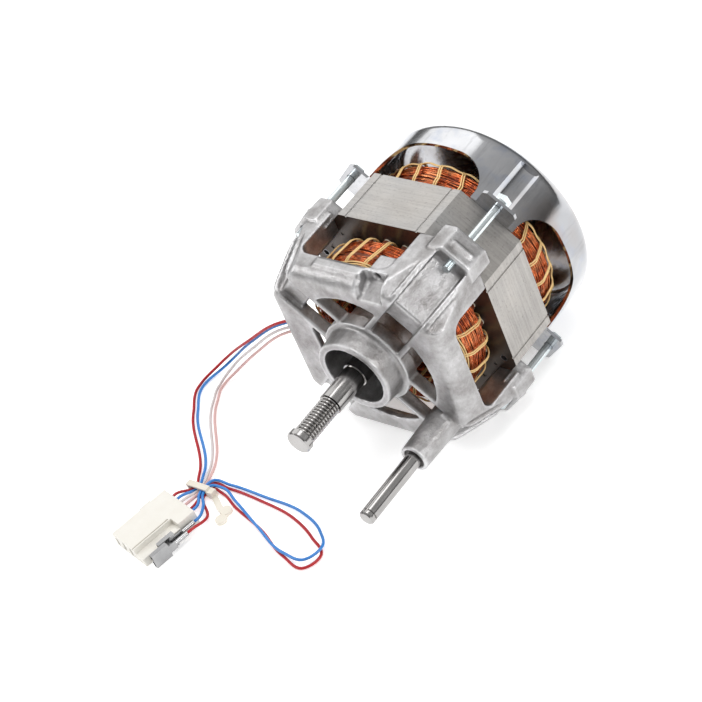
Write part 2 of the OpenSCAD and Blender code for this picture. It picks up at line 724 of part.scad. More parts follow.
// Webs that close the shell beside the notch of the screw pad
module pad_webs() {
    bend_y = shield_half - edge_r;
    bend_a = plate_at - edge_r;
    middle = edge_r - side_t / 2;
    for (x = [screw_x - pad_w / 2 - 2 - side_t, screw_x + pad_w / 2 + 2 - over])
        translate([x, 0, 0]) rotate([90, 0, 90]) linear_extrude(side_t + over) polygon([
            [vent_r + 1, window_h], [bend_y + middle, window_h], [bend_y + middle, bend_a],
            [bend_y + middle / root2, bend_a + middle / root2], [bend_y, bend_a + middle],
            [vent_r + 1, bend_a + middle]
        ]);
}
module shield_lug() intersection() {
    translate([bevel_r, -lug_w, -lug_back])
        cube([lug_corner - bevel_r, 2 * lug_w, lug_back + lug_front]);
    rotate(-45) cube([2 * lug_half, 2 * lug_half, 4 * shield_half], center = true);
}
module shield_arms() intersection() {
    shield_envelope();
    at_corners() translate([hub_bore_r + over, -arm_w / 2, floor_back])
        cube([shield_half, arm_w, plate_at - floor_back]);
}
module arm_hollow() {
    translate([ring_r - 3, -arm_gap / 2, floor_top]) cube([2 * shield_half, arm_gap, plate_at]);
    translate([ring_r - 3, -arm_gap / 2, window_h]) cube([slot_end_r - ring_r + 3, arm_gap, plate_at]);
    intersection() {
        beyond(channel_r, channel_lean);
        translate([0, -arm_gap / 2, lug_front]) cube([2 * shield_half, arm_gap, plate_at]);
    }
}
module hub() {
    seat_from = front_bearing_at - over;
    translate([0, 0, seat_from]) cylinder(r = bearing_r + seat_wall, h = floor_back - seat_from + over);
    translate([0, 0, floor_back]) cylinder(r = ring_r, h = plate_at + ring_up - floor_back);
    translate([0, 0, plate_at]) cylinder(r1 = hub_root_r, r2 = hub_r, h = hub_front - plate_at);
}
module hub_bores() {
    translate([0, 0, front_bearing_at - 2 * over]) cylinder(r = bearing_r, h = bearing_w + 2 * over);
    translate([0, 0, front_bearing_end - over]) cylinder(r = lip_hole_r, h = hub_front);
    translate([0, 0, lip_front]) cylinder(r = hub_bore_r, h = hub_front);
}
module hub_ribs() for (k = [0:hub_rib_count - 1]) rotate(360 * k / hub_rib_count + 20)
    translate([lip_hole_r, -0.5, lip_front - over]) cube([hub_bore_r - lip_hole_r + 0.5, 1, hub_rib_h + over]);
module raised_strips() {
    translate([-15, shield_half - 2, 26.6]) cube([26, 2.9, 4]);
    translate([-15, -shield_half - 1.1, 26.6]) cube([10, 3, 5]);
}
module at_stud() rotate(-45) translate([stud_off * root2, 0, 0]) children();
module front_shield() color("#b9b8ba") in_place() {
    difference() {
        union() {
            difference() {
                union() {
                    shield_shell();
                    shield_arms();
                    at_corners() shield_lug();
                    raised_strips();
                    pad_slope();
                    pad_webs();
                    translate([-vent_r - over, -16, plate_back]) cube([vent_r + over - vent_left, 32, plate_t]);
                    translate([screw_x - pad_w / 2, pad_low, pad_at - pad_l])
                        cube([wide_edge + over - screw_x + pad_w / 2, 4.8, pad_l]);
                }
                at_corners() arm_hollow();
            }
            hub();
            at_stud() translate([0, 0, floor_back])
                cylinder(r1 = boss_root_r, r2 = boss_r, h = boss_front - floor_back);
        }
        hub_bores();
        at_corners() translate([bolt_at, 0, -lug_back - over]) cylinder(r = bolt_r, h = 4 * lug_front);
        at_stud() translate([0, 0, boss_front - stud_depth]) cylinder(r = stud_r, h = stud_end);
        at_stud() translate([0, 0, boss_front - recess_d]) cylinder(r = recess_r, h = recess_d + over);
        translate([screw_x, screw_z, pad_at - screw_depth]) cylinder(r = screw_r, h = screw_depth + over);
    }
    hub_ribs();
}

// Stud for the belt's idler, with a groove for a retaining ring
module idler_stud() color("#c6c7cb") in_place() at_stud() rotate_extrude() difference() {
    translate([0, boss_front - stud_depth]) square([stud_r, stud_end - boss_front + stud_depth]);
    translate([stud_r - clip_d, stud_end - clip_back - clip_w / 2]) square([clip_d + over, clip_w]);
    translate([stud_r - 0.3, boss_front - recess_d]) square([0.3 + over, recess_d]);
    translate([stud_r, stud_end]) rotate(45) square(1, center = true);
}

// Rear bowl, pressed from sheet, open towards the stack, with a flat underneath to stand on
module bowl_form(inset) intersection() {
    low = inset > 0 ? -over : 0;
    rotate_extrude() {
        translate([0, low]) square([bowl_r - bowl_round, bowl_l - inset - low]);
        translate([0, low]) square([bowl_r - inset, bowl_l - bowl_round - low]);
        translate([bowl_r - bowl_round, bowl_l - bowl_round]) circle(bowl_round - inset);
    }
    translate([-bowl_r - over, inset - lug_half, -2 * over])
        cube([2 * (bowl_r + over), bowl_r + lug_half + over, bowl_l + 3 * over]);
}
module bowl_ear() intersection() {
    translate([ear_in_r, -ear_w, 0]) cube([ear_r - ear_in_r, 2 * ear_w, sheet_t]);
    rotate(-45) cube([2 * lug_half, 2 * lug_half, bowl_l], center = true);
}
module rear_bowl() color("#cdd0d6") in_place() behind() difference() {
    press_l = bowl_l - bowl_round * 0.6;
    union() {
        difference() {
            bowl_form(0);
            bowl_form(sheet_t);
            for (k = [0:3]) rotate(90 * k) translate([0, 2 * bowl_r, 0]) rotate([90, 0, 0])
                linear_extrude(2 * bowl_r - bundle_in_r)
                    arch(-bowl_window_w, bowl_window_w, -over, bowl_window_h, bowl_window_round);
        }
        intersection() {
            bowl_form(0);
            at_corners() translate([press_at, 0, 0]) cylinder(r = press_r + sheet_t, h = press_l);
        }
        at_corners() bowl_ear();
        translate([0, 0, rear_bearing_at]) ring(bearing_r + sheet_t, bearing_r, bowl_l - sheet_t - rear_bearing_at + 0.5);
    }
    at_corners() {
        translate([press_at, 0, sheet_t]) cylinder(r = press_r, h = press_l - 2 * sheet_t);
        translate([bolt_at, 0, -over]) cylinder(r = bolt_r + ear_clear, h = sheet_t + 2 * over);
    }
}

// Through bolts, with their heads behind the ears and their threads in the lugs
module bolt_profile() {
    polygon([[0, -stack_len - sheet_t - over], [bolt_r, -stack_len - sheet_t - over], [bolt_r, -lug_back], [0, -lug_back]]);
    polygon([[0, -lug_back - over], [bolt_r - 0.35, -lug_back - over], [bolt_r - 0.35, bolt_tip], [0, bolt_tip]]);
    turns = floor((bolt_tip + lug_back) / thread_pitch);
    for (k = [0:turns - 1]) translate([0, bolt_tip - (k + 1) * thread_pitch]) polygon([
        [0, -0.01], [bolt_r - 0.35, -0.01], [bolt_r, thread_pitch * 0.35],
        [bolt_r, thread_pitch * 0.65], [bolt_r - 0.35, thread_pitch], [0, thread_pitch]
    ]);
}
module through_bolts() color("#c3cccf") in_place() at_corners() translate([bolt_at, 0, 0]) {
    rotate_extrude() bolt_profile();
    translate([0, 0, ear_back - flange_t]) cylinder(r = flange_r, h = flange_t);
    translate([0, 0, ear_back - flange_t - hex_h]) cylinder(d = hex_af / cos(30), h = hex_h + 0.1, $fn = 6);
}

// Harness
module wire(path) tube(path, wire_r, 8);
module lead_red() color("#a3141a") wire(red_path);
module lead_blue() color("#2f62c8") wire(blue_path);
module lead_white() color("#e4ddd8") wire(white_path);
module lead_pink() color("#e9b9b4") wire(pink_path);
module jumper_red() color("#a3141a") wire(jumper_red_path);
module jumper_blue() color("#2f62c8") wire(jumper_blue_path);

// Connector: a flat housing with a low side, a latch and a row of mouths at its front
module connector_housing() color("#f0eeea") at_plug() difference() {
    union() {
        translate([-plug_w / 2, -plug_l, 0]) cube([plug_w - plug_low_w, plug_l, plug_h]);
        translate([-plug_w / 2, -plug_l, 0]) cube([plug_w, plug_l, plug_low]);
        translate([-plug_w / 2, -plug_l * 0.3, 0]) cube([plug_w, plug_l * 0.3, plug_h]);
        translate([-plug_w / 2 - 2, -plug_l * 0.45, 1]) cube([3, 6, plug_h - 2]);
    }
    for (k = [0:2]) translate([mouth_from + k * mouth_pitch, -plug_l - over, mouth_z])
        cube([1.6, plug_l * 0.6, plug_h - 2 * mouth_z]);
    translate([plug_w / 2 - plug_low_w - 1.4, -plug_l - over, plug_h - 1]) cube([0.8, plug_l * 0.7, 2]);
}
module connector_contacts() color("#c9c7bf") at_plug()
    for (k = [0:2]) translate([mouth_from + k * mouth_pitch + 0.4, -plug_l * 0.8, mouth_z + 0.3])
        cube([0.8, plug_l * 0.4 - over, plug_h - 2 * mouth_z - 0.6]);

// Receptacle terminal standing on edge: a socket with two lips, a neck and a crimp round the wire
module receptacle(back) {
    tin = 0.4;
    long = term_l + neck_l + crimp_l;
    translate([-term_h / 2, back - long, 0]) {
        difference() {
            cube([term_h, term_l, term_w]);
            translate([tin, -over, tin]) cube([term_h - 2 * tin, term_l + 2 * over, term_w - 2 * tin]);
            translate([-over, -over, term_w / 2 - 0.6]) cube([tin + over, term_l + 2 * over, 1.2]);
        }
        translate([term_h - tin, term_l - over, term_w / 2 - 2]) cube([tin, neck_l + 2 * over, 4]);
    }
    translate([0, back, term_w / 2]) rotate([90, 0, 0]) difference() {
        cylinder(r = term_h / 2, h = crimp_l);
        translate([0, 0, crimp_l * 0.6]) cylinder(r = wire_r, h = crimp_l);
    }
}
module terminal_blue() color("#b9bbbb") at_plug() translate([term_side, 0, 0]) receptacle(blue_term_back);
module terminal_red() color("#b9bbbb") at_plug() translate([term_side + term_pitch, 0, 0])
    receptacle(red_term_back);

// Cable tie: a band round all the wires, its head, and a tail with two round tabs
module cable_tie() color("#ddd6c6") {
    translate([0, tie_y + tie_w / 2, 0]) rotate([90, 0, 0]) linear_extrude(tie_w) difference() {
        translate([tie_left - tie_t, 0]) square([tie_right - tie_left + 2 * tie_t, tie_high + tie_t]);
        translate([tie_left, tie_t]) square([tie_right - tie_left, tie_high - tie_t]);
    }
    head = tie_right + tie_t - 0.1;
    translate([head, tie_y - 1.8, 0]) cube([3.4, 3.4, 4.2]);
    tail = [[head + 2.6, tie_y - 0.4], [-63.4, -84.4], [-59.6, -87], [-55.4, -89]];
    for (k = [0:len(tail) - 2]) {
        step = tail[k + 1] - tail[k];
        translate([tail[k][0], tail[k][1], 0]) rotate(atan2(step[1], step[0]))
            translate([-0.4, -tie_w / 2, 0]) cube([norm(step) + 0.8, tie_w, 1.2]);
    }
    for (p = [[-54.2, -88], [-53, -93.2]]) translate([p[0], p[1], 0]) cylinder(r = 2.8, h = 1.6);
    translate([-55.2, -91, 0]) cube([3.6, 4.4, 1.4]);
}

front_shield();
stator_core();
stack_rivets();
stator_winding();
slot_liners();
slot_wedges();
front_lacing();
rear_lacing();
rotor_core();
rotor_cage();
shaft();
front_bearing_outer_ring();
front_bearing_inner_ring();
front_bearing_balls();
front_bearing_shields();
rear_bearing_outer_ring();
rear_bearing_inner_ring();
rear_bearing_balls();
rear_bearing_shields();
wave_washer();
rear_bowl();
through_bolts();
idler_stud();
lead_red();
lead_blue();
lead_white();
lead_pink();
jumper_red();
jumper_blue();
connector_housing();
connector_contacts();
terminal_red();
terminal_blue();
cable_tie();
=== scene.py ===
# %% [markdown]
# Dryer motor, dressed for a studio picture.
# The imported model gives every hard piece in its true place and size. This script adds what
# makes it look real: wire, lacing and cords, cast and plated metal, light and a camera.
# Lengths are in metres, and MM turns the millimetres of the motor's drawing into them.

# %% Load the frame
import bpy
import bmesh
import math
import random
from mathutils import Matrix, Vector


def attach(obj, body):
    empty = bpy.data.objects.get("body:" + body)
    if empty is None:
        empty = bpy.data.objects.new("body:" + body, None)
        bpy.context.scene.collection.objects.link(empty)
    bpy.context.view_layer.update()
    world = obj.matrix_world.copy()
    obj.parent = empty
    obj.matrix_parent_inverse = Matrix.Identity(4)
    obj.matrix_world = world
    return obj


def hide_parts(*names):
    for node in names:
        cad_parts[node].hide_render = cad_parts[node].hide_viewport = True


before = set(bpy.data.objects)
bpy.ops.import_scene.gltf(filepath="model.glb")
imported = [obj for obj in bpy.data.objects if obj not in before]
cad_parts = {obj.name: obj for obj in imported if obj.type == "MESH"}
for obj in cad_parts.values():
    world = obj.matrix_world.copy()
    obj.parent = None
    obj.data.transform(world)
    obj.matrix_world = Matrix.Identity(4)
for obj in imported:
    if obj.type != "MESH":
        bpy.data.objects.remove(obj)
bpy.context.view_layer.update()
MM = 0.001

# %% [markdown]
# The camera. A product photographer stands well back with a long lens, so the motor shows
# almost no perspective. The camera was worked out from the edges of the stack, the shield
# and the bowl, so it is stated as a place and the two directions that span the picture.

# %% Camera
scene = bpy.context.scene
camera_data = bpy.data.cameras.new("photo_camera")
camera_data.lens = 115.1
camera_data.sensor_width = 36
camera_data.clip_start = 0.05
camera = bpy.data.objects.new("photo_camera", camera_data)
scene.collection.objects.link(camera)
picture_right = Vector((0.755966, 0.569386, -0.322979))
picture_up = Vector((-0.203606, 0.673436, 0.710654))
turn = Matrix((picture_right, picture_up, picture_right.cross(picture_up))).transposed()
camera.matrix_world = Matrix.Translation((0.59884, -0.48191, 0.66202)) @ turn.to_4x4()
scene.camera = camera
print("camera", [round(x, 3) for x in camera.location])

# %% [markdown]
# The cords. Four leads leave the front winding, hang down to the ground and run to the
# connector, and two more wires leave the connector, make a loop and end in receptacles.
# Each follows the same points as its plain solid in the model, joined by one smooth curve.

# %% Routes of the cords
PLUG_AT = (-75, -94.6)
PLUG_TURN = math.radians(-13)
WIRE_D = 1.4
FIRST_ENTRY, ENTRY_PITCH = -8.6, 3.3
CRIMP_HEIGHT = 3.7
OFF_THE_FLOOR = 0.02


def plug_point(across, back, up):
    """A point of the connector's own frame, in millimetres of the motor's frame."""
    c, s = math.cos(PLUG_TURN), math.sin(PLUG_TURN)
    return (PLUG_AT[0] + across * c - back * s, PLUG_AT[1] + across * s + back * c, up)


def entry(k, up=4.0):
    """The two points where wire k runs straight into the connector."""
    across = FIRST_ENTRY + ENTRY_PITCH * k
    return [plug_point(across, 2 * WIRE_D, up), plug_point(across, 0, up)]


def into_crimp(side, back):
    """The two points where a wire runs straight into its terminal."""
    return [plug_point(side, b, CRIMP_HEIGHT) for b in (back + 2 * WIRE_D, back)]


routes = {
    "lead_red": [
        (-40.3, 4.4, 40.4), (-66, -6, 39.6), (-94, -9.4, 22.5), (-118, -15, 4.4),
        (-122.6, -26, 0.8), (-113, -43, 0.8), (-82.6, -74.4, 1), (-78.4, -82.5, 1.75),
    ] + entry(0),
    "lead_blue": [
        (-39.9, 4.4, 38.65), (-66, -4.6, 37.6), (-94, -7.8, 20.6), (-116.4, -13.6, 2.4),
        (-120.4, -26, 0.8), (-111.2, -41.6, 0.8), (-80.8, -73, 0.9), (-76.8, -82.5, 1.75),
    ] + entry(1),
    "lead_white": [
        (-39.4, 4.4, 36.9), (-68, -6.4, 34.8), (-92, -10, 19), (-107.6, -15.4, 6.4),
        (-112, -23, 0.9), (-107.6, -34, 0.8), (-79.2, -71, 0.9), (-75.2, -82.5, 1.75),
    ] + entry(2),
    "lead_pink": [
        (-38.8, 4.4, 35.15), (-67, -6, 32.4), (-90.6, -9.6, 16.6), (-105.6, -15, 4.4),
        (-110, -22.4, 0.8), (-105.6, -33, 0.8), (-77.4, -70, 0.9), (-73.6, -82.5, 1.75),
    ] + entry(3),
    "jumper_red": entry(4, 3.0)[::-1] + [
        (-72.1, -84.5, 1.75), (-72.1, -80.5, 1.75), (-71.6, -77.4, 1.5), (-62, -76.4, 0.8),
        (-42, -77.2, 0.8), (-20, -80.2, 0.8), (-4, -86.6, 0.8), (7, -94.6, 0.8), (4, -102, 0.8),
        (-10, -100.2, 0.8), (-30, -91.4, 0.8), (-52, -84.4, 0.8), (-63, -80, 0.9),
        (-69.9, -80.1, 1.75), (-70.3, -84.5, 1.75), (-59.4, -96, 2.2),
    ] + into_crimp(16.3, -9),
    "jumper_blue": entry(5, 4.6)[::-1] + [
        (-72.1, -84.5, 3.3), (-72.1, -80.5, 3.3), (-71.4, -77, 3.2), (-62, -74.8, 1.6),
        (-42, -74.6, 0.8), (-18, -76, 0.8), (-2, -82.6, 1.4), (5.6, -90.8, 2.4),
        (2.6, -98.8, 2.4), (-10, -99.4, 2.3), (-32, -91.2, 2.3), (-52, -82.6, 2.2),
        (-64, -78.2, 2.6), (-70.2, -80, 3.3), (-70.3, -84.5, 3.3), (-65, -90.6, 3.6),
    ] + into_crimp(13.5, -3),
}


def smooth_route(points, step=1.6):
    """A smooth curve through the points, given in millimetres and returned in metres.

    Each stretch is a Hermite curve. Its end slopes come from the neighbouring points and are
    scaled to the stretch, so short stretches stay calm."""
    p = [Vector(q) for q in points]
    slopes = []
    for i in range(len(p)):
        if i == 0:
            slope = (p[1] - p[0]).normalized()
        elif i == len(p) - 1:
            slope = (p[-1] - p[-2]).normalized()
        else:
            before, after = p[i] - p[i - 1], p[i + 1] - p[i]
            slope = (before / before.length ** 2 + after / after.length ** 2).normalized()
        slopes.append(slope)
    line = [p[0]]
    for i in range(len(p) - 1):
        length = (p[i + 1] - p[i]).length
        count = max(2, round(length / step))
        for k in range(1, count + 1):
            t = k / count
            q = (
                (2 * t**3 - 3 * t**2 + 1) * p[i] + (t**3 - 2 * t**2 + t) * length * slopes[i]
                + (3 * t**2 - 2 * t**3) * p[i + 1] + (t**3 - t**2) * length * slopes[i + 1]
            )
            q.z = max(q.z, WIRE_D / 2 + OFF_THE_FLOOR)
            line.append(q)
    return [q * MM for q in line]


def path_length(path):
    return sum((b - a).length for a, b in zip(path, path[1:]))


lines = {name: smooth_route(points) for name, points in routes.items()}
for name, line in lines.items():
    print(name, len(line), "points,", round(path_length(line) / MM, 1), "mm")

# %% [markdown]
# Fixed values of the motor, as in its drawing: how far the stack's front face is from the
# middle, how high the shaft is, and the sizes of the two rings of winding, in millimetres.
# Two helpers follow, which turn what is built later into objects in the scene.

# %% The motor's own frame and its two rings of winding
AXIS_H = 49
STACK_FRONT = 14.4
STACK_LEN = 28.4
SLOTS = 24
BUNDLE_IN, BUNDLE_GAP, BUNDLE_ROUND = 30, 1.9, 5
FRONT_BUNDLE = {"wide": 11.2, "long": 18, "rear": False}
REAR_BUNDLE = {"wide": 14.6, "long": 14.5, "rear": True}


def motor_point(x, y, ahead):
    """A point of the motor in metres: across, up from the shaft, ahead of the stack's front."""
    return Vector((x, STACK_FRONT - ahead, y + AXIS_H)) * MM


def round_shaft(radius, angle, beyond, rear):
    """A point at a radius and an angle, and a distance beyond the stack's nearer face."""
    ahead = -STACK_LEN - beyond if rear else beyond
    return motor_point(radius * math.cos(angle), radius * math.sin(angle), ahead)


def mesh_from(made, name):
    """The finished mesh of a bmesh, which is freed."""
    mesh = bpy.data.meshes.new(name)
    made.to_mesh(mesh)
    made.free()
    return mesh


def add_object(name, data):
    """A new object in the scene for a mesh or a light."""
    piece = bpy.data.objects.new(name, data)
    scene.collection.objects.link(piece)
    return piece


print("stack from", motor_point(0, 0, -STACK_LEN).y, "to", motor_point(0, 0, 0).y)

# %% [markdown]
# Every finish on the motor is worked out from a few patterns: mottling on the casting, sheet
# lines on the stack, turning marks on the shaft. Written as sums and products they are easy
# to read, so a small class wraps a shader socket and turns Python arithmetic into Math nodes.

# %% Arithmetic on shader sockets
class Strand:
    """One value in a material. Arithmetic on it adds the Math nodes."""

    def __init__(self, finish, socket):
        self.finish = finish
        self.socket = socket

    def math(self, operation, a, b=None):
        sockets = {0: a} if b is None else {0: a, 1: b}
        return self.finish.node("ShaderNodeMath", {"operation": operation}, sockets)

    def __add__(self, other):
        return self.math("ADD", self, other)

    def __sub__(self, other):
        return self.math("SUBTRACT", self, other)

    def __mul__(self, other):
        return self.math("MULTIPLY", self, other)

    def __pow__(self, other):
        return self.math("POWER", self, other)


class Finish:
    """A material that is built by expressions and feeds one Principled shader."""

    def __init__(self, name, **constants):
        self.material = bpy.data.materials.new(name)
        self.material.use_nodes = True
        self.tree = self.material.node_tree
        self.shader = self.tree.nodes["Principled BSDF"]
        for key, value in constants.items():
            self.shader.inputs[key.replace("_", " ")].default_value = value

    def node(self, kind, settings=None, sockets=None, out=0):
        """A node with its settings and its sockets fed, as a strand of one output."""
        made = self.tree.nodes.new(kind)
        for key, value in (settings or {}).items():
            if key == "stops":
                ramp = made.color_ramp.elements
                for place, shade in value[2:]:
                    ramp.new(place)
                for element, (place, shade) in zip(ramp, value):
                    element.position = place
                    element.color = shade if len(shade) == 4 else (*shade, 1)
            else:
                setattr(made, key, value)
        for key, value in (sockets or {}).items():
            self.feed(made.inputs[key], value)
        return Strand(self, made.outputs[out])

    def feed(self, socket, value):
        if isinstance(value, Strand):
            self.tree.links.new(value.socket, socket)
        else:
            socket.default_value = value

    def place(self, scale=(1, 1, 1)):
        """The piece's own coordinates in metres, stretched along X, Y and Z."""
        where = self.node("ShaderNodeTexCoord", out=3)
        return self.node("ShaderNodeMapping", {}, {"Vector": where, "Scale": scale})

    def noise(self, per_metre, detail, stretch=(1, 1, 1), roughness=0.55):
        """Soft patches from 0 to 1, so many to a metre, with finer layers on them."""
        return self.node("ShaderNodeTexNoise", {"noise_dimensions": "3D"}, {
            "Vector": self.place(stretch), "Scale": per_metre, "Detail": detail,
            "Roughness": roughness,
        })

    def blend(self, factor, low, high):
        """A colour between two others. A Math node would turn it grey."""
        low = low if isinstance(low, Strand) else (*low, 1)
        high = high if isinstance(high, Strand) else (*high, 1)
        colours = {0: factor, 6: low, 7: high}
        return self.node("ShaderNodeMix", {"data_type": "RGBA"}, colours, 2)

    def ridges(self, axis, pitch_mm):
        """A wave from 0 to 1 along one axis, such as sheets in a stack or turning marks."""
        parts = self.node("ShaderNodeSeparateXYZ", {}, {0: self.place()}, "XYZ".index(axis))
        return parts.math("SINE", parts * (2 * math.pi / (pitch_mm * MM))) * 0.5 + 0.5

    def steps(self, value, *stops):
        """A ramp through (place, colour) stops."""
        return self.node("ShaderNodeValToRGB", {"stops": stops}, {0: value})

    def bump(self, height, depth_mm, strength):
        """Relief without shape: a height of 1 stands out by the given depth."""
        sockets = {"Height": height, "Distance": depth_mm * MM, "Strength": strength}
        self.feed(self.shader.inputs["Normal"], self.node("ShaderNodeBump", {}, sockets))

    def set(self, name, value):
        self.feed(self.shader.inputs[name], value)


def clamp(value):
    return value.finish.node("ShaderNodeClamp", {}, {0: value})


print("patterns ready")

# %% [markdown]
# Cast aluminium. The shield is die cast and tumbled, so it is light grey and matte, a little
# darker where the mould's oil left a skin, and bright on its edges. Wide patches, streaks
# of flow and fine grain give the mottling. Pointiness finds the edges, which are brightened
# for wear and as a painted highlight, and the hollows, which are darkened as painted shade.
# The same noises, and one more, roughen the skin.

# %% Casting
POINTINESS = 7


def casting():
    f = Finish("cast_aluminium", Metallic=0.85)
    patches = f.noise(60, 7, roughness=0.7)
    grain = f.noise(800, 5, roughness=0.75)
    flow = f.noise(150, 5, (1, 0.35, 1), 0.7)
    edge = f.node("ShaderNodeNewGeometry", out=POINTINESS)
    # Painted highlight and wear on the edges, painted shade in the hollows, both found by
    # pointiness.
    worn_and_highlit_edge = f.steps(edge, (0.5, (0, 0, 0)), (0.57, (1, 1, 1)))
    painted_hollow_shade = f.steps(edge, (0.41, (1, 1, 1)), (0.49, (0, 0, 0)))
    worn_and_highlit_edge, painted_hollow_shade = (f.node("ShaderNodeRGBToBW", {}, {0: mask}) for mask in (worn_and_highlit_edge, painted_hollow_shade))
    grey = f.blend(clamp(patches * 3.2 - 1.1), (0.24, 0.228, 0.224), (0.56, 0.555, 0.56))
    grey = f.blend(clamp(flow * 4 - 1.9) * 0.55, grey, (0.19, 0.178, 0.17))
    grey = f.blend(clamp(grain * 4 - 2.2) * 0.5, grey, (0.16, 0.155, 0.15))
    grey = f.blend(painted_hollow_shade * 0.7, grey, (0.1, 0.095, 0.09))
    grey = f.blend(worn_and_highlit_edge * 0.55, grey, (0.9, 0.9, 0.91))
    f.set("Base Color", grey)
    f.set("Roughness", clamp(patches * 2 - 0.6) * 0.14 + grain * 0.12 + 0.22)
    f.bump(grain + flow * 1.2 + f.noise(330, 4) * 1.2, 0.2, 0.9)
    return f.material


cast_aluminium = casting()
print(cast_aluminium.name)

# %% [markdown]
# Stacked sheet. The stator's stack is a pile of half-millimetre sheets whose edges were
# machined flush, so fine lines run round it. A sine along the shaft gives the lines, wide
# noises the warm and cool patches that heat left, and a noise drawn out along the sheets the
# scuffs. The two end sheets face along the shaft and are painted dark as painted shade, for
# the shade inside the shield.

# %% Stack of sheets
SHEET_MM = 0.5
OBJECT_NORMAL, Y_PART = 1, 1


def sheet_stack():
    f = Finish("stacked_sheets", Metallic=0.8)
    lines = f.ridges("Y", SHEET_MM)
    patches = f.noise(45, 3)
    scuffs = f.noise(260, 4, (0.12, 4, 0.12))
    specks = f.noise(900, 3)
    warmth = f.noise(30, 2)
    tone = f.blend(clamp(patches * 2 - 0.5), (0.3, 0.288, 0.276), (0.44, 0.415, 0.388))
    tone = f.blend(clamp(warmth * 4 - 1.6) * 0.4, tone, (0.4, 0.42, 0.44))
    tone = f.blend(clamp(scuffs * 3 - 1.2) * 0.45, tone, (0.62, 0.6, 0.57))
    tone = f.blend(clamp(specks * 4 - 2.2) * 0.6, tone, (0.14, 0.135, 0.13))
    tone = f.blend(lines * 0.3, tone, (0.26, 0.245, 0.23))
    # Painted shade: faces that point along the shaft, the stack's two ends, are darkened.
    facing = f.node("ShaderNodeTexCoord", out=OBJECT_NORMAL)
    along = f.node("ShaderNodeSeparateXYZ", {}, {0: facing}, Y_PART)
    face = clamp(along * along * 6 - 4)
    painted_shade_end_tone = f.blend(clamp(patches * 2 - 0.4), (0.045, 0.036, 0.03), (0.15, 0.13, 0.115))
    f.set("Base Color", f.blend(face, tone, painted_shade_end_tone))
    f.set("Roughness", scuffs * 0.22 + 0.2)
    f.bump(lines, 0.04, 0.6)
    return f.material


stacked_sheets = sheet_stack()
print(stacked_sheets.name)

# %% [markdown]
# Steel. The shaft and the stud are ground bright, with turning marks round them, and the
# bolts and terminals are plated. They share one recipe: a metal whose tone and roughness
# wander a little, with marks along the axis that the piece was turned on. The bowl has its
# own: bright plating with clouds, painted reflections in warm brown and blue, and the faint
# rings that the press left.

# %% Turned and plated steel
RING_MM = 2.6


def bright_metal(name, low, high, rough, marks_mm=None, marks=0.3):
    """A metal between two tones, with turning marks of the given pitch if it was turned."""
    f = Finish(name, Metallic=1.0)
    patches = f.noise(90, 3)
    f.set("Base Color", f.blend(patches, low, high))
    f.set("Roughness", patches * 0.1 + rough)
    height = f.noise(900, 3) * 0.4
    if marks_mm:
        height = height + f.ridges("Y", marks_mm) * 0.6
    f.bump(height, 0.02, marks)
    return f.material


def plated_sheet():
    """Bright plating on drawn sheet, with faint rings round the shaft and painted reflections
    in warm brown and blue.
    """
    f = Finish("plated_bowl", Metallic=1.0)
    where = f.place()
    across = f.node("ShaderNodeSeparateXYZ", {}, {0: where}, 0)
    above = f.node("ShaderNodeSeparateXYZ", {}, {0: where}, 2) - AXIS_H * MM
    radius = (across * across + above * above) ** 0.5
    rings = radius.math("SINE", radius * (2 * math.pi / (RING_MM * MM)))
    clouds = f.noise(26, 3)
    drawn = f.noise(420, 4, (1, 0.12, 1), 0.7)
    tone = f.blend(clamp(clouds * 3 - 1), (0.4, 0.405, 0.42), (0.66, 0.665, 0.68))
    # Painted reflections: a warm brown tint in a band at mid height, and blue patches, stand
    # for the surroundings mirrored in the plating.
    middle = clamp(above * (-1 / (26 * MM)) + 1.5) * clamp(above * (1 / (20 * MM)) + 0.4)
    warm = middle * clamp(f.noise(48, 2) * 5 - 1.9)
    tone = f.blend(warm * 0.7, tone, (0.36, 0.29, 0.25))
    blue = clamp(f.noise(75, 3) * 5 - 2.7)
    tone = f.blend(blue * 0.6, tone, (0.33, 0.38, 0.5))
    f.set("Base Color", f.blend(clamp(drawn * 4 - 2.1) * 0.4, tone, (0.22, 0.22, 0.235)))
    f.set("Roughness", drawn * 0.14 + 0.07)
    f.bump(drawn + clouds * 5 + rings * 0.35, 0.05, 0.3)
    return f.material


plated_bowl = plated_sheet()
ground_steel = bright_metal(
    "ground_steel", (0.3, 0.29, 0.285), (0.46, 0.45, 0.44), 0.11, marks_mm=0.35, marks=0.02
)
bearing_steel = bright_metal("bearing_steel", (0.28, 0.28, 0.29), (0.42, 0.42, 0.43), 0.2)
shield_sheet = bright_metal(
    "bearing_shield_sheet", (0.05, 0.05, 0.052), (0.11, 0.11, 0.115), 0.4
)
zinc_plate = bright_metal("zinc_plate", (0.6, 0.66, 0.68), (0.8, 0.85, 0.86), 0.2)
tinned_sheet = bright_metal("tinned_sheet", (0.22, 0.22, 0.225), (0.5, 0.5, 0.5), 0.2)
contact_metal = bright_metal("contact_metal", (0.6, 0.56, 0.42), (0.78, 0.74, 0.6), 0.25)
rivet_steel = bright_metal("rivet_steel", (0.25, 0.25, 0.26), (0.45, 0.45, 0.46), 0.35)
rotor_steel = bright_metal(
    "rotor_steel", (0.22, 0.21, 0.21), (0.38, 0.37, 0.37), 0.35, marks_mm=0.5, marks=0.5
)
rotor_casting = bright_metal("rotor_casting", (0.5, 0.5, 0.51), (0.7, 0.7, 0.71), 0.38)
print("metals", len(bpy.data.materials))

# %% [markdown]
# Wire, cord and plastic. Enamelled copper is a lacquered metal whose colour runs from orange
# to deep red with the lacquer's thickness. Lacing cord is dull waxed yarn. Insulation,
# the connector and the tie are plastics, which are never one flat colour from close by.

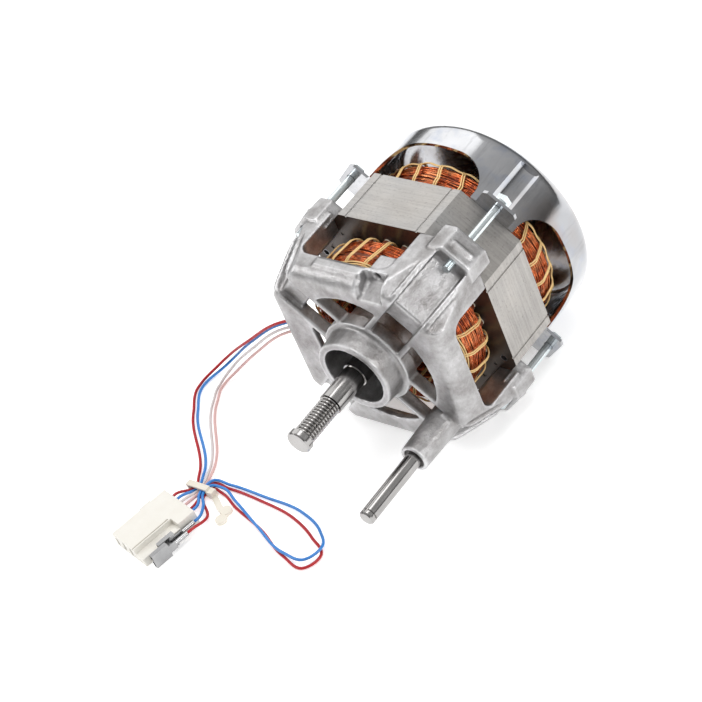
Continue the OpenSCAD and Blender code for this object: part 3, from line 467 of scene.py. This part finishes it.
# %% Copper, cord and plastics
def enamelled_copper():
    f = Finish("enamelled_copper", Metallic=0.8, Coat_Weight=0.4, Coat_Roughness=0.15)
    fine = f.noise(420, 2)
    wide = f.noise(110, 2)
    tone = f.blend(clamp(fine * 2.4 - 0.7), (0.16, 0.018, 0.005), (0.84, 0.19, 0.045))
    f.set("Base Color", f.blend(clamp(wide * 3 - 1.3) * 0.55, tone, (1.0, 0.45, 0.17)))
    f.set("Roughness", fine * 0.16 + 0.12)
    return f.material


def plastic(name, low, high, rough, per_metre=300, depth_mm=0.01):
    """A dull material between two tones, with patches of one size and a slight relief."""
    f = Finish(name)
    patches = f.noise(per_metre, 3)
    f.set("Base Color", f.blend(patches, low, high))
    f.set("Roughness", patches * 0.1 + rough)
    f.bump(patches, depth_mm, 0.4)
    return f.material


copper_wire = enamelled_copper()
copper_painted_shade = plastic("copper_painted_shade", (0.1, 0.02, 0.008), (0.22, 0.05, 0.015), 0.45, 500, 0.05)
lacing_cord = plastic("lacing_cord", (0.7, 0.4, 0.12), (1.0, 0.78, 0.4), 0.5, 1300, 0.15)
slot_film = plastic("slot_film", (0.72, 0.66, 0.5), (0.86, 0.82, 0.7), 0.45)
slot_strip = plastic("slot_strip", (0.36, 0.26, 0.12), (0.5, 0.38, 0.2), 0.5)
red_cover = plastic("red_cover", (0.36, 0.002, 0.006), (0.47, 0.004, 0.01), 0.38)
blue_cover = plastic("blue_cover", (0.025, 0.17, 0.52), (0.045, 0.26, 0.68), 0.3)
white_cover = plastic("white_cover", (0.6, 0.55, 0.54), (0.7, 0.65, 0.64), 0.35)
pink_cover = plastic("pink_cover", (0.62, 0.38, 0.36), (0.72, 0.47, 0.45), 0.35)
white_nylon = plastic("white_nylon", (0.74, 0.71, 0.64), (0.82, 0.8, 0.75), 0.36, 160, 0.03)
natural_nylon = plastic("natural_nylon", (0.7, 0.65, 0.54), (0.8, 0.76, 0.68), 0.4, 200, 0.04)
print("finishes", len(bpy.data.materials))

# %% [markdown]
# The wires. A wire is a round tube that keeps its section upright along a smooth line, so
# its rings are carried from point to point with the least turn, and both ends are closed.

# %% Tubes along lines
def ring_axes(line):
    """At each point the direction and two sideways axes, carried along without twist."""
    axes = []
    side = None
    for i, point in enumerate(line):
        ahead = (line[min(i + 1, len(line) - 1)] - line[max(i - 1, 0)]).normalized()
        if side is None:
            side = ahead.orthogonal().normalized()
        side = (side - ahead * side.dot(ahead)).normalized()
        axes.append((point, side, ahead.cross(side)))
    return axes


def tube(name, line, radius, sides, material):
    """A closed round tube along a line."""
    made = bmesh.new()
    turns = [2 * math.pi * k / sides for k in range(sides)]
    rings = []
    for point, side, up in ring_axes(line):
        rings.append([
            made.verts.new(point + radius * (math.cos(t) * side + math.sin(t) * up))
            for t in turns
        ])
    for a, b in zip(rings, rings[1:]):
        for k in range(sides):
            made.faces.new((a[k], a[(k + 1) % sides], b[(k + 1) % sides], b[k])).smooth = True
    made.faces.new(rings[0][::-1])
    made.faces.new(rings[-1])
    mesh = mesh_from(made, name)
    mesh.materials.append(material)
    return add_object(name, mesh)


def stand_for(piece, node, body="frame"):
    """Hide the node that a piece takes the place of, and hang the piece on the empty of its
    body.
    """
    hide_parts(node)
    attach(piece, body)


covers = {
    "lead_red": (red_cover, "wire_red"), "lead_blue": (blue_cover, "wire_blue"),
    "lead_white": (white_cover, "wire_white"), "lead_pink": (pink_cover, "wire_pink"),
    "jumper_red": (red_cover, "wire_red"), "jumper_blue": (blue_cover, "wire_blue"),
}
print("covers", len(covers))

# %% Wires of the harness
COVER_SIDES = 10
for name, line in lines.items():
    material, slot = covers[name]
    wire = tube("wire_" + name, line, WIRE_D / 2 * MM, COVER_SIDES, material)
    crimped = ["terminal_red" if name == "jumper_red" else "terminal_blue"]
    stand_for(wire, name)
    path_length(line)
    print(wire.name, len(wire.data.polygons), "faces")

# %% [markdown]
# The windings. Each end of the stator has a ring of several hundred copper wires that run
# round it side by side, dive in and come up again. Geometry Nodes turn plain lines into
# wires, so Python only has to say where each wire runs: round the shaft, and slowly to and
# fro over the ring's section. A ring under them, its copper painted dark as painted shade,
# fills the depth between the wires.

# %% The ring's section
def section(u, lift, ring):
    """A place on a ring's rounded section, u from 0 to 1 round it, lifted off its surface.

    Returns the distance from the ring's inner face and from its face at the stack."""
    wide, long, r = ring["wide"], ring["long"], BUNDLE_ROUND
    flat_a, flat_b, bend = wide - 2 * r, long - 2 * r, math.pi / 2 * r
    around = (u % 1) * (2 * flat_a + 2 * flat_b + 4 * bend)
    corners = [
        (wide - r, r, -90, flat_a), (wide - r, long - r, 0, flat_b),
        (r, long - r, 90, flat_a), (r, r, 180, flat_b),
    ]
    for x, z, start, flat in corners:
        c, s = math.cos(math.radians(start)), math.sin(math.radians(start))
        if around < flat:
            back = flat - around
            return x + (r + lift) * c + back * s, z + (r + lift) * s - back * c
        around -= flat
        if around < bend:
            turn = math.radians(start) + around / r
            return x + (r + lift) * math.cos(turn), z + (r + lift) * math.sin(turn)
        around -= bend
    return r, -lift


def on_ring(u, lift, angle, ring):
    x, z = section(u, lift, ring)
    return round_shaft(BUNDLE_IN + x, angle, BUNDLE_GAP + z, ring["rear"])


print("outermost", [round(c, 2) for c in section(0.3, 0, FRONT_BUNDLE)])

# %% Lines of the wires
FRONT_STRANDS, REAR_STRANDS = 470, 500
STRETCHES = 22
DIVE_SHARE, DIVE_MM = 0.1, 1.6
SLOT_STRANDS = 12
IN_SLOT_MM = 0.6


def winding_lines(ring, count, seed):
    """The lines of the wires over one ring. Both ends of a wire dive under its neighbours."""
    rng = random.Random(seed)
    found = []
    for i in range(count):
        start = rng.uniform(0, 2 * math.pi)
        span = math.radians(rng.uniform(70, 150))
        place = (i + rng.uniform(-0.4, 0.4)) / count
        swing, phase = rng.uniform(0.008, 0.03), rng.uniform(0, 6.3)
        drift = rng.uniform(-0.09, 0.09)
        level = rng.uniform(-1.0, -0.05)
        line = []
        for k in range(STRETCHES + 1):
            t = k / STRETCHES
            dive = max(0, 1 - min(t, 1 - t) / DIVE_SHARE) ** 2 * DIVE_MM
            u = place + swing * math.sin(phase + 5 * t) + drift * t
            line.append(on_ring(u, level - dive, start + span * t, ring))
        found.append(line)
    return found


def slot_lines(ring, seed):
    """Short lines that rise out of each slot and bend into the ring on either side."""
    rng = random.Random(seed)
    found = []
    for slot_index in range(SLOTS):
        middle = 2 * math.pi * slot_index / SLOTS
        for _ in range(SLOT_STRANDS):
            radius = rng.uniform(30.6, 38)
            across = rng.uniform(-1.3, 1.3) / radius
            turn = rng.choice((-1, 1)) * math.radians(rng.uniform(5, 15))
            rise = rng.uniform(2.6, 4.6)
            line = []
            for t in (0, 0.2, 0.4, 0.6, 0.8, 1):
                angle = middle + across + turn * t * t
                height = -IN_SLOT_MM + (rise + IN_SLOT_MM) * math.sin(t * math.pi / 2)
                line.append(round_shaft(radius + 1.2 * t, angle, height, ring["rear"]))
            found.append(line)
    return found


wire_runs = {
    "winding_front": winding_lines(FRONT_BUNDLE, FRONT_STRANDS, seed=11)
    + slot_lines(FRONT_BUNDLE, seed=12),
    "winding_rear": winding_lines(REAR_BUNDLE, REAR_STRANDS, seed=21)
    + slot_lines(REAR_BUNDLE, seed=22),
}
print({name: len(found) for name, found in wire_runs.items()})

# %% Nodes that turn lines into wires
def line_mesh(name, found):
    """A mesh of edges only, one chain for each line."""
    mesh = bpy.data.meshes.new(name)
    points, edges = [], []
    for line in found:
        first = len(points)
        points.extend(line)
        edges.extend((first + k, first + k + 1) for k in range(len(line) - 1))
    mesh.from_pydata(points, edges, [])
    return add_object(name, mesh)


def wire_nodes():
    """A node group that sweeps a circle along every line and paints the result."""
    tree = bpy.data.node_groups.new("lines_to_wires", "GeometryNodeTree")
    for name, way, kind in (
        ("Lines", "INPUT", "Geometry"), ("Wire radius", "INPUT", "Float"),
        ("Sides", "INPUT", "Int"), ("Finish", "INPUT", "Material"),
        ("Wires", "OUTPUT", "Geometry"),
    ):
        tree.interface.new_socket(name=name, in_out=way, socket_type="NodeSocket" + kind)
    add, join = tree.nodes.new, tree.links.new
    given, result = add("NodeGroupInput"), add("NodeGroupOutput")
    curve, profile = add("GeometryNodeMeshToCurve"), add("GeometryNodeCurvePrimitiveCircle")
    sweep, smooth = add("GeometryNodeCurveToMesh"), add("GeometryNodeSetShadeSmooth")
    real, painted = add("GeometryNodeRealizeInstances"), add("GeometryNodeSetMaterial")
    sweep.inputs["Fill Caps"].default_value = True
    join(given.outputs["Lines"], curve.inputs["Mesh"])
    join(given.outputs["Wire radius"], profile.inputs["Radius"])
    join(given.outputs["Sides"], profile.inputs["Resolution"])
    join(curve.outputs["Curve"], sweep.inputs["Curve"])
    join(profile.outputs["Curve"], sweep.inputs["Profile Curve"])
    join(sweep.outputs["Mesh"], smooth.inputs["Geometry"])
    join(smooth.outputs["Geometry"], real.inputs["Geometry"])
    join(real.outputs["Geometry"], painted.inputs["Geometry"])
    join(given.outputs["Finish"], painted.inputs["Material"])
    join(painted.outputs["Geometry"], result.inputs["Wires"])
    return tree


lines_to_wires = wire_nodes()
sockets = {s.name: s.identifier for s in lines_to_wires.interface.items_tree}
print(sockets)

# %% Wires from lines
STRAND_RADIUS, STRAND_SIDES = 0.27, 5


def made_plain(source, name):
    """The evaluated object as a plain mesh object under a new name."""
    seen = source.evaluated_get(bpy.context.evaluated_depsgraph_get())
    mesh = bpy.data.meshes.new_from_object(seen)
    mesh.name = name
    piece = add_object(name, mesh)
    bpy.data.objects.remove(source)
    return piece


def wires_from(name, found, radius_mm, sides, material):
    """One mesh of round wires along all the lines."""
    source = line_mesh(name + "_lines", found)
    modifier = source.modifiers.new("wires", "NODES")
    modifier.node_group = lines_to_wires
    modifier[sockets["Wire radius"]] = radius_mm * MM
    modifier[sockets["Sides"]] = sides
    modifier[sockets["Finish"]] = material
    piece = made_plain(source, name)
    piece.data.calc_loop_triangles()
    print(name, len(piece.data.loop_triangles), "triangles")
    return piece


for name, found in wire_runs.items():
    strands = wires_from(name, found, STRAND_RADIUS, STRAND_SIDES, copper_wire)
    stand_for(strands, "stator_winding")

# %% The dark ring under the wires
UNDER_WIRES = -0.95
BAR_AT = 34
BAR_SIZE = (8, STACK_LEN + 7, 3)


def winding_depth(ring, name):
    """A closed ring a little under the wires, turned round the shaft.

    The front one also has the bars of copper that run through the slots to the rear one."""
    made = bmesh.new()
    around, over = 96, 28
    grid = []
    for i in range(around):
        angle = 2 * math.pi * i / around
        spots = [on_ring(j / over, UNDER_WIRES, angle, ring) for j in range(over)]
        grid.append([made.verts.new(spot) for spot in spots])
    for i in range(around):
        a, b = grid[i], grid[(i + 1) % around]
        for j in range(over):
            k = (j + 1) % over
            made.faces.new((a[j], a[k], b[k], b[j])).smooth = True
    if not ring["rear"]:
        for i in range(SLOTS):
            turn = Matrix.Rotation(2 * math.pi * i / SLOTS, 4, "Y")
            at = Matrix.Translation(Vector((0, STACK_FRONT + STACK_LEN / 2, AXIS_H)) * MM)
            bar = at @ turn @ Matrix.Translation(Vector((BAR_AT, 0, 0)) * MM)
            size = Matrix.Diagonal((*(side * MM for side in BAR_SIZE), 1))
            bmesh.ops.create_cube(made, size=1, matrix=bar @ size)
    bmesh.ops.recalc_face_normals(made, faces=made.faces)
    mesh = mesh_from(made, name)
    # Painted shade: the ring's copper is nearly black, for the shade between the wires.
    mesh.materials.append(copper_painted_shade)
    return add_object(name, mesh)


for name, ring in (("winding_front_depth", FRONT_BUNDLE), ("winding_rear_depth", REAR_BUNDLE)):
    depth = winding_depth(ring, name)
    stand_for(depth, "stator_winding")
    print(name, len(depth.data.polygons), "faces")

# %% [markdown]
# The lacing. A doubled cord is wound round each ring, once in every gap between two slots,
# and moves on by one slot across the ring's face. It is drawn tight, so it follows the
# section closely. A second doubled run goes round the outer edge and holds the loops.

# %% Lines of the lacing
# How far the cord's middle is off the ring, and the angle in degrees where the lacing starts
LACE_OFF, LACE_START = 1.15, 210
# How far a loop has moved on, in slots, with three steps for each corner and its next flat
LACE_ADVANCE = [0, 0, 0, 0.17, 0.33, 0.5, 0.67, 0.83, 1, 1, 1, 1, 1]
# The run round the edge: its place on the corner in degrees, how far it is off the ring, how
# much further where it crosses a loop, its waver, and the radius that makes a shift an angle
EDGE_TURN, EDGE_OFF, EDGE_DIP, EDGE_WAVER, EDGE_RADIUS = 40, 0.75, 0.7, 0.35, 6.2
EDGE_POINTS = 12
CORD_RADIUS, CORD_SIDES = 0.34, 7


def lace_line(ring, aside):
    """The cord's line round one ring: corner after corner, shifted sideways for its twin."""
    wide, long, r = ring["wide"], ring["long"], BUNDLE_ROUND
    corners = [(wide - r, r), (wide - r, long - r), (r, long - r), (r, r)]
    points, apart = 6, 18
    line = []
    for loop in range(SLOTS - 1):
        for corner, (x, z) in enumerate(corners):
            for part in range(points):
                step = corner * 3 + part * 0.4
                whole = int(step)
                share = step - whole
                on = LACE_ADVANCE[whole] * (1 - share) + LACE_ADVANCE[whole + 1] * share
                turn = math.radians(corner * 90 - 90 + apart * part)
                radius = BUNDLE_IN + x + (r + LACE_OFF) * math.cos(turn)
                angle = math.radians(LACE_START + 360 / SLOTS * (0.5 + loop + on))
                angle += aside / radius
                height = BUNDLE_GAP + z + (r + LACE_OFF) * math.sin(turn)
                line.append(round_shaft(radius, angle, height, ring["rear"]))
    return line


def edge_line(ring, aside):
    """The run round the ring's outer edge, which dips a little between the loops."""
    line = []
    for k in range(SLOTS * EDGE_POINTS + 1):
        t = k / EDGE_POINTS
        dip = 0.5 + 0.5 * math.cos(2 * math.pi * t)
        reach = BUNDLE_ROUND + EDGE_OFF + EDGE_DIP * dip
        waver = EDGE_WAVER * math.sin(math.pi * t)
        turn = math.radians(EDGE_TURN) + (aside + waver) / EDGE_RADIUS
        radius = BUNDLE_IN + ring["wide"] - BUNDLE_ROUND
        radius += reach * math.cos(turn)
        height = BUNDLE_GAP + ring["long"] - BUNDLE_ROUND
        height += reach * math.sin(turn)
        angle = math.radians(LACE_START + 360 / SLOTS * (0.5 + t))
        line.append(round_shaft(radius, angle, height, ring["rear"]))
    return line


for name, ring in (("front_lacing", FRONT_BUNDLE), ("rear_lacing", REAR_BUNDLE)):
    runs = [lace_line(ring, aside) for aside in (-0.55, 0.55)]
    runs += [edge_line(ring, aside) for aside in (-0.5, 0.5)]
    end = name.split("_")[0]
    cord = wires_from("laced_" + end, runs, CORD_RADIUS, CORD_SIDES, lacing_cord)
    stand_for(cord, name)

# %% [markdown]
# The front shield. The model's shield is exact but has sharp edges, and a casting has none.
# A copy is merged, rebuilt from small cubes by the voxel remesher, and smoothed once, which
# rounds every edge by up to a millimetre and leaves the faces where they were.

# %% Merged copies of nodes
# Points of neighbouring triangles that are closer than this, in metres, become one
SAME_POINT = 2e-6


def merged_copy(node, name, material, sharp=35):
    """A copy of a node whose triangles are joined, so it can be shaded smooth."""
    made = bmesh.new()
    made.from_mesh(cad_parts[node].data)
    bmesh.ops.remove_doubles(made, verts=made.verts, dist=SAME_POINT)
    mesh = mesh_from(made, name)
    if "custom_normal" in mesh.attributes:
        mesh.attributes.remove(mesh.attributes["custom_normal"])
    for face in mesh.polygons:
        face.use_smooth = True
        face.material_index = 0
    mesh.set_sharp_from_angle(angle=math.radians(sharp))
    mesh.materials.clear()
    mesh.materials.append(material)
    return add_object(name, mesh)


print("copies can be made of", len(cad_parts), "nodes")

# %% Casting with rounded edges
VOXEL_MM = 0.72


def rounded_casting():
    """The shield as a casting: an even mesh whose edges are softened."""
    sharp = merged_copy("front_shield", "sharp_shield", cast_aluminium)
    remesh = sharp.modifiers.new("cubes", "REMESH")
    remesh.mode = "VOXEL"
    remesh.voxel_size = VOXEL_MM * MM
    relax = sharp.modifiers.new("relax", "SMOOTH")
    relax.factor = 0.5
    relax.iterations = 1
    piece = made_plain(sharp, "shield_casting")
    for face in piece.data.polygons:
        face.use_smooth = True
    return piece


shield = rounded_casting()
shield.data.materials.clear()
shield.data.materials.append(cast_aluminium)
stand_for(shield, "front_shield")
print("shield", len(shield.data.polygons), "quads")

# %% [markdown]
# The bright pieces. The bowl, the shaft, the stud and the bolts keep the model's shape. Their
# copies are only merged, so that light runs smoothly round them and breaks at real edges.

# %% Bright pieces
bowl = merged_copy("rear_bowl", "bowl_pressing", plated_bowl, sharp=40)
stand_for(bowl, "rear_bowl")
turned = merged_copy("shaft", "rotor_shaft", ground_steel, sharp=30)
stand_for(turned, "shaft", "rotor")
stud = merged_copy("idler_stud", "belt_stud", ground_steel, sharp=30)
stand_for(stud, "idler_stud")
bolts = merged_copy("through_bolts", "clamping_bolts", zinc_plate, sharp=30)
stand_for(bolts, "through_bolts")
tie = merged_copy("cable_tie", "tie_band", natural_nylon)
stand_for(tie, "cable_tie")
print("bright pieces made")

# %% [markdown]
# The other pieces keep the model's own shape and get their finish.

# %% Finishes of the kept nodes
kept = {
    "stator_core": stacked_sheets, "stack_rivets": rivet_steel, "slot_liners": slot_film,
    "slot_wedges": slot_strip, "rotor_core": rotor_steel, "rotor_cage": rotor_casting,
    "wave_washer": bearing_steel, "connector_housing": white_nylon,
    "connector_contacts": contact_metal, "terminal_red": tinned_sheet,
    "terminal_blue": tinned_sheet,
}
for end in ("front", "rear"):
    kept[end + "_bearing_outer_ring"] = bearing_steel
    kept[end + "_bearing_inner_ring"] = bearing_steel
    kept[end + "_bearing_balls"] = bearing_steel
    kept[end + "_bearing_shields"] = shield_sheet
for node, material in kept.items():
    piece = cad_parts[node]
    if not piece.material_slots:
        piece.data.materials.append(material)
    for place in piece.material_slots:
        place.material = material
print("dressed", len(kept), "nodes")

# %% [markdown]
# The studio. The motor stands on a plain pale floor under large soft lights. A wide light
# above gives the bright tops, one from the left shapes the casting, one from the right opens
# the shadows, and a weak one from behind draws the bowl's far edge. The surroundings are pale
# with a darker band at the horizon, which is what a plated bowl needs to show its form.

# %% Floor
def floor_sheet():
    """A large sheet just under the motor's feet, which glows a little as lit paper does."""
    mesh = bpy.data.meshes.new("studio_floor")
    half, under = 3.0, 0.0002
    corners = [(-half, -half, 0), (half, -half, 0), (half, half, 0), (-half, half, 0)]
    mesh.from_pydata(corners, [], [(0, 1, 2, 3)])
    mesh.transform(Matrix.Translation((0, 0, -under)))
    f = Finish(
        "studio_paper", Roughness=0.9, Emission_Color=(1, 1, 1, 1), Emission_Strength=0.42
    )
    f.set("Base Color", f.blend(f.noise(3, 2), (0.93, 0.93, 0.93), (0.95, 0.95, 0.95)))
    mesh.materials.append(f.material)
    floor = add_object("studio_floor", mesh)
    return floor


print(floor_sheet().name)

# %% Lights
def soft_light(name, place, aim, size, power):
    """A square light at a place, turned towards its aim. Its size is in metres."""
    lamp = bpy.data.lights.new(name, "AREA")
    lamp.shape = "SQUARE"
    lamp.size = size
    lamp.energy = power
    direction = Vector(aim) - Vector(place)
    turn = direction.to_track_quat("-Z", "Y").to_matrix().to_4x4()
    add_object(name, lamp).matrix_world = Matrix.Translation(place) @ turn


soft_light("top_box", (0.05, 0.1, 1.2), (0, 0, 0.04), 0.8, 6)
soft_light("back_box", (-0.62, 0.62, 0.72), (0, 0, 0.05), 0.9, 2.6)
soft_light("left_box", (-0.85, -0.6, 0.8), (0, 0, 0.05), 0.5, 4)
soft_light("right_box", (1.1, 0.1, 0.55), (0, 0, 0.05), 0.45, 5)

world = bpy.data.worlds.new("studio")
scene.world = world
world.use_nodes = True
sky, joined = world.node_tree.nodes, world.node_tree.links
where = sky.new("ShaderNodeTexCoord")
height = sky.new("ShaderNodeSeparateXYZ")
ramp = sky.new("ShaderNodeValToRGB")
# From straight below (0) past the horizon (0.5) to straight above (1), and how bright it is
stops = [(0.0, 0.6), (0.46, 0.35), (0.505, 0.12), (0.58, 0.4), (0.72, 0.8), (1.0, 0.95)]
for place, shade in stops[2:]:
    ramp.color_ramp.elements.new(place)
for element, (place, shade) in zip(ramp.color_ramp.elements, stops):
    element.position = place
    element.color = (shade, shade, shade, 1)
spread = sky.new("ShaderNodeMapRange")
spread.inputs["From Min"].default_value = -1
joined.new(where.outputs["Generated"], height.inputs[0])
joined.new(height.outputs["Z"], spread.inputs["Value"])
joined.new(spread.outputs[0], ramp.inputs[0])
joined.new(ramp.outputs[0], sky["Background"].inputs["Color"])
sky["Background"].inputs["Strength"].default_value = 0.6
scene.view_settings.view_transform = "Standard"
